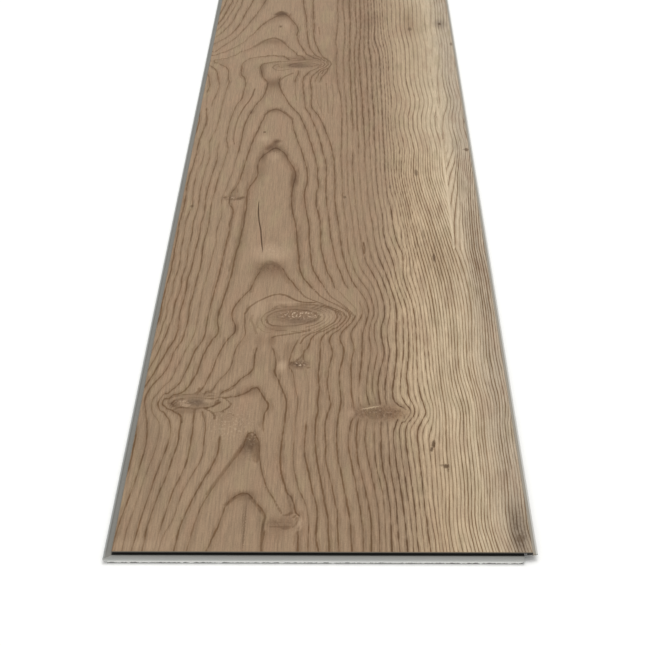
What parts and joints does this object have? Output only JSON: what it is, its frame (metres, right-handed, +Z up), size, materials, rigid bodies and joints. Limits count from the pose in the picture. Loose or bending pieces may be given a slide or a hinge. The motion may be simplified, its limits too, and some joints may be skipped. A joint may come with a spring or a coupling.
{
  "type": "vinyl floor plank",
  "caption": "Rigid-core vinyl floor plank with a wood-grain face, a tongue-and-groove click joint milled round its edges and a foam underlay.",
  "frame": {"origin": "on the floor, under the middle of the face that shows once the plank is laid", "axes": "+Y along the plank towards its short end with the tongue, +X across it towards its long side with the tongue, +Z up out of the walking face"},
  "size_m": [0.2358, 1.5296, 0.0055],
  "materials": {
    "printed_vinyl": "matt embossed vinyl with a brown cathedral wood-grain print",
    "rigid_core": "warm grey stone-filled plastic, milled",
    "foam": "off-white closed-cell foam sheet, matt"
  },
  "bodies": {
    "root": {"printed_vinyl_layer": "printed_vinyl", "rigid_core": "rigid_core", "foam_underlay": "foam"}
  },
  "joints": []
}
